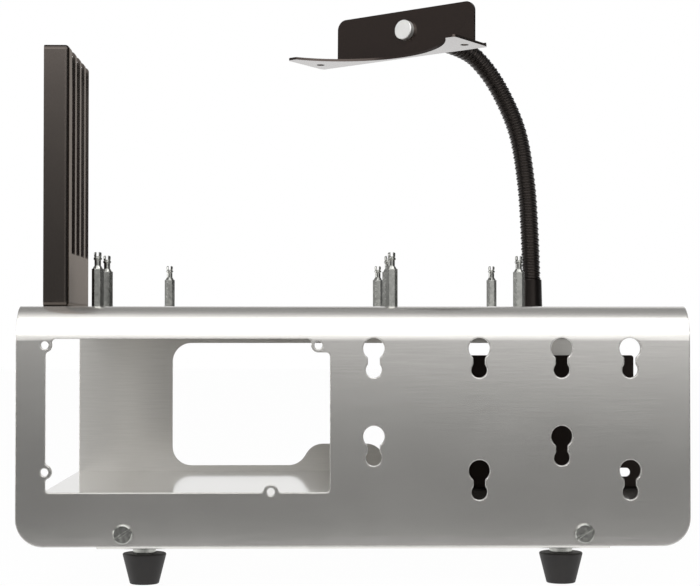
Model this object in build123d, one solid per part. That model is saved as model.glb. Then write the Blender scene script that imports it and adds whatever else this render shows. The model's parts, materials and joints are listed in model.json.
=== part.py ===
"""Open air test bench for a microATX board, all lengths in millimetres.

X runs along the front panel to the right, Y from the front panel to the rear panel, Z up.
The origin is on the floor, under the middle of the body.
"""

from build123d import *
import os

# Body shell, one folded sheet
body_width = 341.0
body_height = 121.5
body_sheet = 2.0
bend_radius = 17.5
panel_corner_radius = 14.0
panel_above_floor = 21.0

# Power supply cut-out, placed from the first screw hole in the panel's upper left corner
psu_hole_from_end = 14.5
psu_hole_below_deck = 19.9
psu_hole_steps = [(0.0, 0.0), (138.0, 0.0), (0.0, -64.0), (114.0, -74.0)]
psu_hole_radius = 2.0
psu_pad_radius = 3.7
psu_cut_left = 0.35
psu_cut_right = 143.8
psu_cut_top = 3.2
psu_cut_bottom = 74.3
psu_cut_round = 2.0

# Drive keyholes, placed from the large hole of the first column and row
keyhole_from_end = 180.5
keyhole_below_deck = 21.6
large_drive_pitch = (95.25, 44.45)
small_drive_pitch = (76.6, 61.72)
small_drive_offset = 53.4
keyhole_large_radius = 5.4
keyhole_small_radius = 4.05
keyhole_drop = 10.8
keyhole_neck = 6.0
keyhole_round = 1.5

# Rear window with its raised middle
window_half_width = 110.6
window_top_below_deck = 19.9
window_sill_above_floor_sheet = 3.5
window_radius = 12.0
window_rise = 13.8
window_rise_top = 32.0
window_rise_base = 68.0
window_rise_round = 12.0

# Floor tray, one folded sheet
tray_sheet = 2.0
tray_floor_above_edge = 19.4
tray_drop_below_edge = 1.5
tray_flange_from_end = 40.5
tray_lip = 36.0
tray_bend_radius = 3.0
tray_relief = 3.0

# Screws between body and tray
tray_screw_from_end = 54.0
tray_screw_above_edge = 6.5
tray_screw_head = 10.0
tray_screw_head_height = 2.6
tray_screw_head_edge = 0.6
tray_screw_length = 10.0
tray_screw_slot_width = 1.0
tray_screw_slot_depth = 1.2
tray_screw_slot_angle = 33.0

# Feet
foot_from_end = 63.1
foot_from_front = 22.0
foot_height = 15.8
foot_top_radius = 11.4
foot_base_radius = 7.4
foot_edge_round = 0.8
foot_recess_radius = 4.6
foot_recess_depth = 6.0
foot_spacer_radius = 6.0

# Board posts, microATX hole pattern
first_column_from_end = 36.4
first_row_from_front = 42.6
last_row_from_rear = 20.9
column_steps = (0.0, 154.94, 227.33)
offset_column_step = 22.86
row_steps = (0.0, 45.72, 203.2)
post_across_flats = 5.5
post_body = 20.1
post_cone = 1.5
post_neck_radius = 1.75
post_neck = 3.4
post_collar_radius = 2.2
post_collar = 0.9
post_tip_radius = 2.0
post_tip = 3.0
post_tip_edge = 0.4
post_waist_ramp = 0.4
post_shoulder = 0.2
post_collar_ramp = 0.3
post_slot_width = 1.3
post_slot_depth = 2.2
post_stud_radius = 1.5
post_stud_length = 5.5

# Card bracket
bracket_sheet = 1.5
bracket_face_before_post = 13.8
bracket_flange = 13.1
bracket_height = 136.8
bracket_start = 29.4
bracket_end_margin = 10.15
bracket_bend_radius = 2.5
bracket_bend_step = 0.2
slot_count = 4
slot_pitch = 20.32
slot_width = 14.0
first_slot_from_start = 20.0
slot_above_deck = 28.1
slot_round = 1.0
slot_into_top = 4.0
card_hole_radius = 1.4
card_hole_inset = 8.0
bracket_screw_from_ends = 12.0

# Drive plate behind the keyholes
drive_plate_sheet = 1.5
drive_plate_from_front = 120.0
drive_plate_from_right = 8.3
drive_plate_width = 104.2
drive_plate_height = 75.8
drive_plate_foot_height = 24.0
drive_plate_foot_reach = 6.0
drive_plate_flange = 22.0
drive_plate_bend_radius = 2.5
drive_plate_corner_round = 1.5
drive_plate_foot_round = 3.0
drive_slot_width = 5.0
drive_slot_length = 20.0
drive_slot_from_side = 2.0
drive_slot_heights = (9.2, 53.65)

# Flexible arm
arm_base_from_right = 55.5
arm_base_from_front = 215.0
arm_crest_radius = 5.7
arm_root_radius = 5.0
arm_pitch = 3.4
arm_socket_depth = 13.0
arm_socket_clearance = 0.05
arm_route_rise = [(-1.0, 0.6, 50.0), (-3.0, 1.5, 80.0), (-8.0, 3.5, 111.0), (-18.5, 4.5, 136.5)]
arm_route_crest = [(-30.0, 1.5, 153.0), (-42.5, -6.0, 161.5)]
ferrule_height = 19.5
ferrule_base_radius = 6.8
ferrule_top_radius = 6.35
arm_stud_radius = 5.0
arm_stud_length = 10.0
arm_nut_across_flats = 15.0
arm_nut_height = 5.0
arm_washer_radius = 9.5
arm_washer_height = 1.2
fitting_radius = 6.4
fitting_length = 17.0
fitting_edge = 0.6

# Fan plate at the end of the arm, for a 120 mm fan
fan_plate_from_right = 136.5
fan_plate_from_front = 174.1
fan_plate_above_deck = 150.7
fan_turn = -38.1
fan_pitch = -2.7
fan_roll = -1.5
fan_sheet = 1.5
fan_plate_reach = 36.0
fan_bend_radius = 3.0
fan_hole_pitch = 105.0
fan_hole_from_bend = 13.8
fan_hole_from_side = 8.0
fan_hole_radius = 2.4
fan_opening_radius = 62.0
fan_ear_round = 2.0
fan_shoulder_round = 6.0
tab_width = 100.0
tab_height = 29.3
tab_corner_radius = 6.0
pivot_height = 17.2
pivot_from_middle = 1.2
pivot_stud_radius = 2.5
pivot_clearance = 0.05
knob_radius = 5.95
knob_height = 3.4
knob_edge = 0.4
knob_bore_depth = 2.6
knob_bore_clearance = 0.2

# Fasteners
thread_clearance = 0.05
hole_clearance = 0.2
thread_past_nut = 1.0
head_round = 0.4
head_drive_width = 0.42
head_drive_depth = 0.6
m3_radius = 1.5
m3_nut = (5.5, 2.4)
m3_head = (2.9, 2.0)
m4_radius = 2.0
m4_nut = (7.0, 3.2)
m4_head = (3.9, 2.6)

# Levels and edges that the pieces share
body_depth = first_row_from_front + row_steps[-1] + last_row_from_rear
left_end = -body_width / 2
right_end = body_width / 2
front_face = -body_depth / 2
panel_edge = panel_above_floor
deck_top = panel_edge + body_height
deck_under = deck_top - body_sheet
tray_top = panel_edge + tray_floor_above_edge
tray_under = tray_top - tray_sheet
tray_low = panel_edge - tray_drop_below_edge
tray_half_depth = body_depth / 2 - body_sheet
tray_flange_width = body_width - 2 * tray_flange_from_end
foot_x = right_end - foot_from_end
foot_y = body_depth / 2 - foot_from_front
tray_screw_x = right_end - tray_screw_from_end
tray_screw_z = panel_edge + tray_screw_above_edge
post_x = left_end + first_column_from_end
post_y = front_face + first_row_from_front
bracket_face_x = post_x - bracket_face_before_post
bracket_y = front_face + bracket_start
bracket_length = first_slot_from_start + (slot_count - 1) * slot_pitch + bracket_end_margin
drive_plate_y = front_face + drive_plate_from_front
drive_plate_right = right_end - drive_plate_from_right
arm_base = Vector(right_end - arm_base_from_right, front_face + arm_base_from_front, deck_top)
fan_corner = Pos(right_end - fan_plate_from_right, front_face + fan_plate_from_front, deck_top + fan_plate_above_deck)
fan_frame = fan_corner * Rot(0, 0, fan_turn) * Rot(fan_pitch, 0, 0) * Rot(0, fan_roll, 0)
fan_plate_width = fan_hole_pitch + 2 * fan_hole_from_side
pivot_frame = fan_frame * Pos(pivot_from_middle, 0, pivot_height)


def at_y(sketch, y, thickness):
    """Solid of a sketch drawn in X and Z, centred on the plane at y."""
    return extrude(Plane.XZ.offset(-y) * sketch, amount=thickness / 2, both=True)


def turned(points):
    """Solid of revolution about Z from half-section points (radius, height)."""
    return revolve(Plane.XZ * make_face(Polyline(*points, close=True)), Axis.Z)


def bolt(radius, length, head):
    """Round-headed screw with a hexagon socket, along -Z, the underside of its head at the origin."""
    head_radius, head_height = head
    cap = Pos(0, 0, head_height / 2) * Cylinder(head_radius, head_height)
    cap = fillet(cap.edges().group_by(Axis.Z)[-1], head_height * head_round)
    socket = RegularPolygon(head_radius * head_drive_width, 6)
    cap -= Pos(0, 0, head_height) * extrude(socket, -head_height * head_drive_depth)
    return cap + Pos(0, 0, -length / 2) * Cylinder(radius, length)


def nut(radius, size):
    """Hexagon nut from the origin downwards."""
    across_flats, height = size
    body = extrude(RegularPolygon(across_flats / 2, 6, major_radius=False), -height)
    return body - Pos(0, 0, -height / 2) * Cylinder(radius + thread_clearance, 2 * height)


def keyhole_centres():
    """Centres of the large holes: two drive patterns that share the panel."""
    x = left_end + keyhole_from_end
    z = deck_top - keyhole_below_deck
    spots = []
    for start, (pitch_x, pitch_z) in ((0.0, large_drive_pitch), (small_drive_offset, small_drive_pitch)):
        spots += [(x + start + i * pitch_x, z - j * pitch_z) for i in range(2) for j in range(2)]
    return spots


def keyhole():
    """Large hole over a small one, joined by a neck with rounded shoulders."""
    small = Pos(0, -keyhole_drop) * Circle(keyhole_small_radius)
    neck = Pos(0, -keyhole_drop / 2) * Rectangle(keyhole_neck, keyhole_drop)
    shape = Circle(keyhole_large_radius) + small + neck
    return fillet(shape.vertices(), keyhole_round)


def psu_corner():
    """X and Z of the first power supply screw hole."""
    return left_end + psu_hole_from_end, deck_top - psu_hole_below_deck


def psu_cutout():
    """Opening behind the supply's fan side, with a rounded pad left for each screw."""
    x, z = psu_corner()
    width = psu_cut_right - psu_cut_left
    height = psu_cut_top + psu_cut_bottom
    shape = Pos(x + psu_cut_left + width / 2, z + psu_cut_top - height / 2) * Rectangle(width, height)
    for step_x, step_z in psu_hole_steps:
        shape -= Pos(x + step_x, z + step_z) * Circle(psu_pad_radius)
    far_x = x + psu_hole_steps[1][0]
    shape -= Pos(far_x + psu_pad_radius, z) * Rectangle(2 * psu_pad_radius, 2 * psu_pad_radius)
    return fillet(shape.vertices(), psu_cut_round)


def rear_window():
    """Wide window with a rise in the middle of its sill."""
    low = tray_top + window_sill_above_floor_sheet
    high = deck_top - window_top_below_deck
    shape = Pos(0, (low + high) / 2) * RectangleRounded(2 * window_half_width, high - low, window_radius)
    half_base, half_top = window_rise_base / 2, window_rise_top / 2
    ramp_inset = (half_base - half_top) / 4
    rise = Polyline(
        (-half_base + ramp_inset, low),
        (-half_top - ramp_inset, low + window_rise),
        (half_top + ramp_inset, low + window_rise),
        (half_base - ramp_inset, low),
        close=True,
    )
    shape -= make_face(rise)
    corners = shape.vertices().filter_by(lambda v: abs(v.X) < half_base)
    return fillet(corners, window_rise_round)


def body_shell():
    """Front panel, deck and rear panel folded from one sheet."""
    middle = panel_edge + body_height / 2
    outer = Pos(0, middle) * Rectangle(body_depth, body_height)
    outer = fillet(outer.vertices().group_by(Axis.Y)[-1], bend_radius)
    inner = Pos(0, middle - body_sheet) * Rectangle(body_depth - 2 * body_sheet, body_height)
    inner = fillet(inner.vertices().group_by(Axis.Y)[-1], bend_radius - body_sheet)
    shell = extrude(Plane.YZ * (outer - inner), amount=body_width / 2, both=True)

    front_view = Pos(0, middle) * Rectangle(body_width, body_height)
    front_view = fillet(front_view.vertices().group_by(Axis.Y)[0], panel_corner_radius)
    shell &= at_y(front_view, 0, 2 * body_depth)

    front = [psu_cutout()]
    front += [Pos(x, z) * keyhole() for x, z in keyhole_centres()]
    x, z = psu_corner()
    front += [Pos(x + dx, z + dz) * Circle(psu_hole_radius) for dx, dz in psu_hole_steps]
    screw_hole = Circle(m4_radius + hole_clearance)
    tray_screws = [Pos(side * tray_screw_x, tray_screw_z) * screw_hole for side in (-1, 1)]
    for sketch in front + tray_screws:
        shell -= at_y(sketch, front_face, 3 * body_sheet)
    for sketch in [rear_window()] + tray_screws:
        shell -= at_y(sketch, -front_face, 3 * body_sheet)

    holes = [(x, y, post_stud_radius) for x, y in post_spots()]
    holes += [(x, y, m3_radius) for x, y in bracket_screw_spots()]
    holes += [(arm_base.X, arm_base.Y, arm_stud_radius)]
    for x, y, radius in holes:
        shell -= Pos(x, y, deck_top) * Cylinder(radius + hole_clearance, 3 * body_sheet)
    return shell


def floor_tray():
    """Floor sheet with front and rear flanges turned down and in under the body."""
    depth = 2 * tray_half_depth
    height = tray_top - tray_low
    middle = tray_low + height / 2
    outer = Pos(0, middle) * RectangleRounded(depth, height, tray_bend_radius)
    inner = RectangleRounded(depth - 2 * tray_sheet, height - 2 * tray_sheet, tray_bend_radius - tray_sheet)
    gap = Pos(0, tray_low) * Rectangle(depth - 2 * tray_lip, height)
    tray = extrude(Plane.YZ * (outer - Pos(0, middle) * inner - gap), amount=tray_flange_width / 2, both=True)
    tray += Pos(0, 0, tray_top - tray_sheet / 2) * Box(body_width, depth, tray_sheet)

    for side_x in (-1, 1):
        for side_y in (-1, 1):
            x = side_x * (tray_flange_width + tray_relief) / 2
            tray -= Pos(x, side_y * tray_half_depth, tray_top) * Box(tray_relief, 2 * tray_bend_radius, 3 * tray_sheet)
            tray -= Pos(side_x * foot_x, side_y * foot_y, tray_low) * Cylinder(
                m4_radius + hole_clearance, 3 * tray_sheet
            )
    screw_hole = Circle(m4_radius + hole_clearance)
    for side in (-1, 1):
        tray -= at_y(Pos(side * tray_screw_x, tray_screw_z) * screw_hole, 0, 2 * body_depth)
    for x, y in drive_plate_screw_spots():
        tray -= Pos(x, y, tray_top) * Cylinder(m3_radius + hole_clearance, 3 * tray_sheet)
    return tray


def foot():
    """Tapered rubber foot with a recess for its screw."""
    cone = turned([(0, 0), (foot_base_radius, 0), (foot_top_radius, foot_height), (0, foot_height)])
    cone = fillet(cone.edges().filter_by(GeomType.CIRCLE), foot_edge_round)
    cone -= Pos(0, 0, foot_recess_depth / 2) * Cylinder(foot_recess_radius, foot_recess_depth)
    return cone - Pos(0, 0, foot_height / 2) * Cylinder(m4_radius + hole_clearance, foot_height)


def foot_spots():
    """X and Y of the four feet, front left first."""
    return [(sx * foot_x, sy * foot_y) for sy in (-1, 1) for sx in (-1, 1)]


def foot_spacer():
    """Plain spacer between foot and tray lip."""
    height = tray_low - foot_height
    ring = Cylinder(foot_spacer_radius, height) - Cylinder(m4_radius + hole_clearance, height)
    return Pos(0, 0, foot_height + height / 2) * ring


def foot_screw():
    """Screw from the foot's recess up through spacer and lip."""
    length = tray_low + tray_sheet + m4_nut[1] + thread_past_nut - foot_recess_depth
    return Pos(0, 0, foot_recess_depth) * (Rot(180, 0, 0) * bolt(m4_radius, length, m4_head))


def foot_nut():
    """Nut on top of the tray lip."""
    return Pos(0, 0, tray_low + tray_sheet + m4_nut[1]) * nut(m4_radius, m4_nut)


def tray_screw():
    """Slotted cheese-head screw along +Y, its seat at the origin."""
    radius = tray_screw_head / 2
    head = Pos(0, 0, tray_screw_head_height / 2) * Cylinder(radius, tray_screw_head_height)
    head = chamfer(head.edges().group_by(Axis.Z)[-1], tray_screw_head_edge)
    slot = Pos(0, 0, tray_screw_head_height) * Box(3 * radius, tray_screw_slot_width, 2 * tray_screw_slot_depth)
    head -= Rot(0, 0, tray_screw_slot_angle) * slot
    shank = Pos(0, 0, -tray_screw_length / 2) * Cylinder(m4_radius, tray_screw_length)
    return Rot(90, 0, 0) * (head + shank)


def facing(y_side, piece):
    """Turn a piece made for the front panel round to the rear one."""
    return piece if y_side < 0 else Rot(0, 0, 180) * piece


def tray_screws():
    """Two screws in the front panel and two in the rear panel."""
    spots = [(sx * tray_screw_x, sy) for sy in (-1, 1) for sx in (-1, 1)]
    return [Pos(x, -side * front_face, tray_screw_z) * facing(side, tray_screw()) for x, side in spots]


def tray_nuts():
    """Nuts on the inside of the tray flanges."""
    piece = Pos(0, tray_sheet + body_sheet, 0) * Rot(90, 0, 0) * nut(m4_radius, m4_nut)
    spots = [(sx * tray_screw_x, sy) for sy in (-1, 1) for sx in (-1, 1)]
    return [Pos(x, -side * front_face, tray_screw_z) * facing(side, piece) for x, side in spots]


def post_spots():
    """Board holes: two on the first row, three on each other row, one of them offset."""
    first, second, third = (post_x + step for step in column_steps)
    near, middle, far = (post_y + step for step in row_steps)
    offset = post_x + offset_column_step
    return [
        (first, near),
        (second, near),
        (first, middle),
        (second, middle),
        (third, middle),
        (offset, far),
        (second, far),
        (third, far),
    ]


def board_post():
    """Hexagonal post with a shoulder, a neck for the board and a slotted snap tip."""
    body = extrude(RegularPolygon(post_across_flats / 2, 6, major_radius=False), post_body)
    cone_radius = post_across_flats / 2
    top_of_cone = post_body + post_cone
    collar_low = top_of_cone + post_neck
    collar_high = collar_low + post_collar
    tip = collar_high + post_tip
    profile = [
        (0, post_body),
        (cone_radius, post_body),
        (post_neck_radius + post_shoulder, top_of_cone),
        (post_neck_radius, top_of_cone),
        (post_neck_radius, collar_low - post_collar_ramp),
        (post_collar_radius, collar_low),
        (post_collar_radius, collar_high),
        (post_neck_radius, collar_high + post_waist_ramp),
        (post_tip_radius, collar_high + 2 * post_waist_ramp),
        (post_tip_radius, tip - post_tip_edge),
        (post_tip_radius - post_tip_edge, tip),
        (0, tip),
    ]
    body += turned(profile)
    body -= Pos(0, 0, tip) * Box(post_slot_width, 4 * post_tip_radius, 2 * post_slot_depth)
    return body + Pos(0, 0, -post_stud_length / 2) * Cylinder(post_stud_radius, post_stud_length)


def bracket_screw_spots():
    """X and Y of the two screws in the card bracket's bottom flange."""
    x = bracket_face_x - bracket_flange / 2
    near = bracket_y + bracket_screw_from_ends
    return [(x, near), (x, bracket_y + bracket_length - bracket_screw_from_ends)]


def card_bracket():
    """Folded pan, open to the left, with card slots that run into its top flange."""
    low, high = deck_top, deck_top + bracket_height
    middle_y = bracket_y + bracket_length / 2
    pan = Box(bracket_flange, bracket_length, bracket_height, align=(Align.MAX, Align.CENTER, Align.MIN))
    pan = fillet(pan.edges().filter_by(Axis.X), bracket_bend_radius)
    pan = fillet(pan.faces().sort_by(Axis.X)[-1].edges(), bracket_bend_radius - bracket_bend_step)
    inside = Pos(-bracket_sheet, 0, bracket_sheet) * Box(
        bracket_flange,
        bracket_length - 2 * bracket_sheet,
        bracket_height - 2 * bracket_sheet,
        align=(Align.MAX, Align.CENTER, Align.MIN),
    )
    inner_radius = bracket_bend_radius - bracket_sheet
    inside = fillet(inside.edges().filter_by(Axis.X), inner_radius)
    inside = fillet(inside.faces().sort_by(Axis.X)[-1].edges(), inner_radius - bracket_bend_step)
    bracket = Pos(bracket_face_x, middle_y, low) * (pan - inside)

    slot_low = low + slot_above_deck
    slot_height = high - slot_low
    for i in range(slot_count):
        y = bracket_y + first_slot_from_start + i * slot_pitch
        cut = Box(2 * slot_into_top, slot_width, 2 * slot_height)
        cut = fillet(cut.edges().filter_by(Axis.X), slot_round)
        bracket -= Pos(bracket_face_x, y, slot_low + slot_height) * cut
        hole_x = bracket_face_x - card_hole_inset
        bracket -= Pos(hole_x, y, high) * Cylinder(card_hole_radius, 3 * bracket_sheet)
    for x, y in bracket_screw_spots():
        bracket -= Pos(x, y, low) * Cylinder(m3_radius + hole_clearance, 3 * bracket_sheet)
    return bracket


def drive_plate_screw_spots():
    """X and Y of the two screws in the drive plate's flange."""
    y = drive_plate_y + drive_plate_sheet + drive_plate_flange / 2
    middle = drive_plate_right - drive_plate_width / 2
    return [(middle + side * drive_plate_width / 4, y) for side in (-1, 1)]


def drive_plate():
    """Upright slotted plate with a wider foot, its flange turned back on the floor."""
    left = drive_plate_right - drive_plate_width
    middle = (left + drive_plate_right) / 2
    wide = drive_plate_width + 2 * drive_plate_foot_reach
    top = Pos(middle, tray_top + drive_plate_height / 2) * Rectangle(drive_plate_width, drive_plate_height)
    top = fillet(top.vertices().group_by(Axis.Y)[-1], drive_plate_corner_round)
    foot_part = Pos(middle, tray_top + drive_plate_foot_height / 2) * Rectangle(wide, drive_plate_foot_height)
    face = top + fillet(foot_part.vertices().group_by(Axis.Y)[-1], drive_plate_foot_round)

    thick = drive_plate_sheet
    depth = drive_plate_flange + thick
    profile = Pos(depth / 2, drive_plate_height / 2) * Rectangle(depth, drive_plate_height)
    profile = fillet(profile.vertices().sort_by(lambda v: v.X + v.Y)[0], drive_plate_bend_radius)
    inner = Pos(thick + depth / 2, thick + drive_plate_height / 2) * Rectangle(depth, drive_plate_height)
    inner = fillet(inner.vertices().sort_by(lambda v: v.X + v.Y)[0], drive_plate_bend_radius - thick)
    folded = extrude(Plane.YZ * (profile - inner), amount=wide / 2, both=True)
    plate = Pos(middle, drive_plate_y, tray_top) * folded
    plate &= at_y(face, drive_plate_y, 4 * depth)

    slot_shape = SlotOverall(drive_slot_length, drive_slot_width)
    slot_x = drive_plate_right - drive_slot_from_side - drive_slot_length / 2
    for height in drive_slot_heights:
        plate -= at_y(Pos(slot_x, tray_top + height) * slot_shape, drive_plate_y, 4 * thick)
    for x, y in drive_plate_screw_spots():
        plate -= Pos(x, y, tray_top) * Cylinder(m3_radius + hole_clearance, 4 * thick)
    return plate


def arm_base_ferrule():
    """Socket for the arm's lower end, its threaded stud through the deck."""
    floor = ferrule_height - arm_socket_depth
    bore = arm_crest_radius + arm_socket_clearance
    profile = [
        (0, -arm_stud_length),
        (arm_stud_radius, -arm_stud_length),
        (arm_stud_radius, 0),
        (ferrule_base_radius, 0),
        (ferrule_top_radius, ferrule_height),
        (bore, ferrule_height),
        (bore, floor),
        (0, floor),
    ]
    return Pos(arm_base) * turned(profile)


def arm_base_washer():
    """Washer under the deck."""
    ring = Cylinder(arm_washer_radius, arm_washer_height)
    ring -= Cylinder(arm_stud_radius + hole_clearance, arm_washer_height)
    return Pos(arm_base.X, arm_base.Y, deck_under - arm_washer_height / 2) * ring


def arm_base_nut():
    """Nut on the ferrule's stud."""
    size = (arm_nut_across_flats, arm_nut_height)
    return Pos(arm_base.X, arm_base.Y, deck_under - arm_washer_height) * nut(arm_stud_radius, size)


def arm_end_fitting():
    """Socket for the arm's upper end, with the stud that carries the fan plate."""
    floor = fitting_length - arm_socket_depth
    bore = arm_crest_radius + arm_socket_clearance
    stud_end = knob_bore_clearance - knob_bore_depth - fan_sheet
    profile = [
        (0, stud_end),
        (pivot_stud_radius, stud_end),
        (pivot_stud_radius, 0),
        (fitting_radius - fitting_edge, 0),
        (fitting_radius, fitting_edge),
        (fitting_radius, fitting_length),
        (bore, fitting_length),
        (bore, floor),
        (0, floor),
    ]
    return pivot_frame * Pos(0, fan_sheet, 0) * Rot(-90, 0, 0) * turned(profile)


def clamp_knob():
    """Round nut that clamps the fan plate against the end fitting."""
    bore = pivot_stud_radius + thread_clearance
    profile = [
        (0, -knob_height),
        (knob_radius - knob_edge, -knob_height),
        (knob_radius, knob_edge - knob_height),
        (knob_radius, 0),
        (bore, 0),
        (bore, -knob_bore_depth),
        (0, -knob_bore_depth),
    ]
    return pivot_frame * Rot(-90, 0, 0) * turned(profile)


def arm_route():
    """Middle line of the flexible arm, from the base socket to the end socket."""
    start = arm_base + Vector(0, 0, ferrule_height - arm_socket_depth)
    end_depth = fan_sheet + fitting_length - arm_socket_depth
    end = pivot_frame * Pos(0, end_depth, 0)
    inward = -Plane(pivot_frame).y_dir
    points = [start, arm_base + Vector(0, 0, ferrule_height)]
    points += [arm_base + Vector(*step) for step in arm_route_rise + arm_route_crest]
    points += [(pivot_frame * Pos(0, end_depth + arm_socket_depth, 0)).position, end.position]
    return Spline(*points, tangents=[(0, 0, 1), inward])


def flexible_arm():
    """Ribbed tube along the route, plain where it sits in its two sockets."""
    route = arm_route()
    length = route.length
    ribs = int((length - 2 * arm_socket_depth) / arm_pitch)
    start = (length - ribs * arm_pitch) / 2
    stations = [(0.0, arm_root_radius)]
    for i in range(ribs):
        stations.append((start + i * arm_pitch, arm_root_radius))
        stations.append((start + (i + 0.5) * arm_pitch, arm_crest_radius))
    stations += [(length - start, arm_root_radius), (length, arm_root_radius)]
    sections = []
    for distance, radius in stations:
        share = distance / length
        plane = Plane(origin=route @ share, x_dir=(0, 1, 0.001), z_dir=route % share)
        sections.append(plane * Circle(radius))
    return loft(sections, ruled=True)


def fan_plate():
    """Folded plate: an upright tab on the arm and two ears round a fan's edge."""
    thick = fan_sheet
    depth = fan_plate_reach + thick
    profile = Pos(thick - depth / 2, tab_height / 2) * Rectangle(depth, tab_height)
    profile = fillet(profile.vertices().sort_by(lambda v: v.Y - v.X)[0], fan_bend_radius)
    inner = Pos(-depth / 2, thick + tab_height / 2) * Rectangle(depth, tab_height)
    inner = fillet(inner.vertices().sort_by(lambda v: v.Y - v.X)[0], fan_bend_radius - thick)
    plate = extrude(Plane.YZ * (profile - inner), amount=fan_plate_width / 2, both=True)

    tab = Pos(0, tab_height / 2) * Rectangle(tab_width, tab_height)
    tab = fillet(tab.vertices().group_by(Axis.Y)[-1], tab_corner_radius)
    tab += Pos(0, fan_bend_radius / 2) * Rectangle(fan_plate_width, fan_bend_radius)
    plate &= at_y(tab, 0, 4 * depth)

    outline = Pos(0, thick - depth / 2) * Rectangle(fan_plate_width, depth)
    outline = fillet(outline.vertices().group_by(Axis.Y)[0], fan_ear_round)
    outline = fillet(outline.vertices().group_by(Axis.Y)[-1], fan_shoulder_round)
    outline -= Pos(0, -fan_hole_from_bend - fan_hole_pitch / 2) * Circle(fan_opening_radius)
    plate &= extrude(outline, amount=2 * tab_height, both=True)
    for side in (-1, 1):
        hole = Pos(side * fan_hole_pitch / 2, -fan_hole_from_bend, 0)
        plate -= hole * Cylinder(fan_hole_radius, 4 * thick)
    pivot_hole = Rot(90, 0, 0) * Cylinder(pivot_stud_radius + pivot_clearance, 4 * thick)
    plate -= Pos(pivot_from_middle, 0, pivot_height) * pivot_hole
    return fan_frame * plate


def group(piece, spots, z=0.0):
    """Copies of one piece at several X and Y spots."""
    return [Pos(x, y, z) * piece for x, y in spots]


foot_names = ["foot_front_left", "foot_front_right", "foot_rear_left", "foot_rear_right"]
nodes = {
    "body_shell": [body_shell()],
    "floor_tray": [floor_tray()],
    "drive_plate": [drive_plate()],
    "card_bracket": [card_bracket()],
    "arm_base_ferrule": [arm_base_ferrule()],
    "arm_base_washer": [arm_base_washer()],
    "arm_base_nut": [arm_base_nut()],
    "flexible_arm": [flexible_arm()],
    "arm_end_fitting": [arm_end_fitting()],
    "fan_plate": [fan_plate()],
    "clamp_knob": [clamp_knob()],
    "foot_spacers": group(foot_spacer(), foot_spots()),
    "foot_screws": group(foot_screw(), foot_spots()),
    "foot_nuts": group(foot_nut(), foot_spots()),
    "tray_screws": tray_screws(),
    "tray_nuts": tray_nuts(),
    "post_nuts": group(nut(post_stud_radius, m3_nut), post_spots(), deck_under),
    "bracket_screws": group(
        bolt(m3_radius, bracket_sheet + body_sheet + m3_nut[1] + thread_past_nut, m3_head),
        bracket_screw_spots(),
        deck_top + bracket_sheet,
    ),
    "bracket_nuts": group(nut(m3_radius, m3_nut), bracket_screw_spots(), deck_under),
    "drive_plate_screws": group(
        bolt(m3_radius, drive_plate_sheet + tray_sheet + m3_nut[1] + thread_past_nut, m3_head),
        drive_plate_screw_spots(),
        tray_top + drive_plate_sheet,
    ),
    "drive_plate_nuts": group(nut(m3_radius, m3_nut), drive_plate_screw_spots(), tray_under),
}
for name, spot in zip(foot_names, foot_spots()):
    nodes[name] = group(foot(), [spot])
for number, spot in enumerate(post_spots(), start=1):
    nodes[f"board_post_{number}"] = group(board_post(), [spot], deck_top)

os.makedirs("parts", exist_ok=True)
for name, pieces in nodes.items():
    solids = [solid for piece in pieces for solid in piece.solids()]
    shape = solids[0] if len(solids) == 1 else Compound(children=solids)
    export_step(shape, f"parts/{name}.step")
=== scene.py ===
"""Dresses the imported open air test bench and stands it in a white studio.

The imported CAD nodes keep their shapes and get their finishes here. The
flexible arm alone is rebuilt, because its two wound wires are finer than the
CAD solid. Every length is written in millimetres and turned to metres by MM.
"""

import json
import logging
import math
from dataclasses import dataclass, field
from enum import Enum

import bpy
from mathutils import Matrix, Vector

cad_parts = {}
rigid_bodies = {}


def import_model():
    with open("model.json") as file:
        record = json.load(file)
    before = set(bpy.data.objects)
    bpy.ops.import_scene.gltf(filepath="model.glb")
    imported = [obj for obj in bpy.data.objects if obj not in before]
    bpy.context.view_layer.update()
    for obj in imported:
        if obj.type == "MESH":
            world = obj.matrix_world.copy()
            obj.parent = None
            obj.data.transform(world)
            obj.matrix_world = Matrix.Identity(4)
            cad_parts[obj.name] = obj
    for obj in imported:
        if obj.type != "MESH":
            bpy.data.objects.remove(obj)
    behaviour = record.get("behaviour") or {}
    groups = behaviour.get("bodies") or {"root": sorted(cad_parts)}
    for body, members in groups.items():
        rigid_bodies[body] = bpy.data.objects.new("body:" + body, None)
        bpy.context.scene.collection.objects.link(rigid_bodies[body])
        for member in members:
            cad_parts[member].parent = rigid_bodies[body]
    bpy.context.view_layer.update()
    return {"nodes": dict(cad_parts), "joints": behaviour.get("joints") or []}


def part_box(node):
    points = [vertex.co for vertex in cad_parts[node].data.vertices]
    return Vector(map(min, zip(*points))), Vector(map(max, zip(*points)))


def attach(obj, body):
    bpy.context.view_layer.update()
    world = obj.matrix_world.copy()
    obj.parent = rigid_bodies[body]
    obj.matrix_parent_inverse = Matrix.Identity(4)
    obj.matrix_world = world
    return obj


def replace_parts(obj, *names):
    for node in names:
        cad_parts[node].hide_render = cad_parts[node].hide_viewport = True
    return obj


MM = 0.001
RING_WIDTH = math.tau / 20  # of a wave texture at scale 1

log = logging.getLogger("test_bench")


def linear(hex_colour: str) -> tuple[float, float, float, float]:
    """Turns an sRGB hex colour into a linear colour.

    Args:
        hex_colour: The colour as "#rrggbb".

    Returns:
        Red, green, blue and an alpha of 1, all linear.
    """
    channels = [int(hex_colour[i : i + 2], 16) / 255 for i in (1, 3, 5)]
    straight = [
        c / 12.92 if c <= 0.04045 else ((c + 0.055) / 1.055) ** 2.4 for c in channels
    ]
    return (straight[0], straight[1], straight[2], 1.0)


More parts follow.
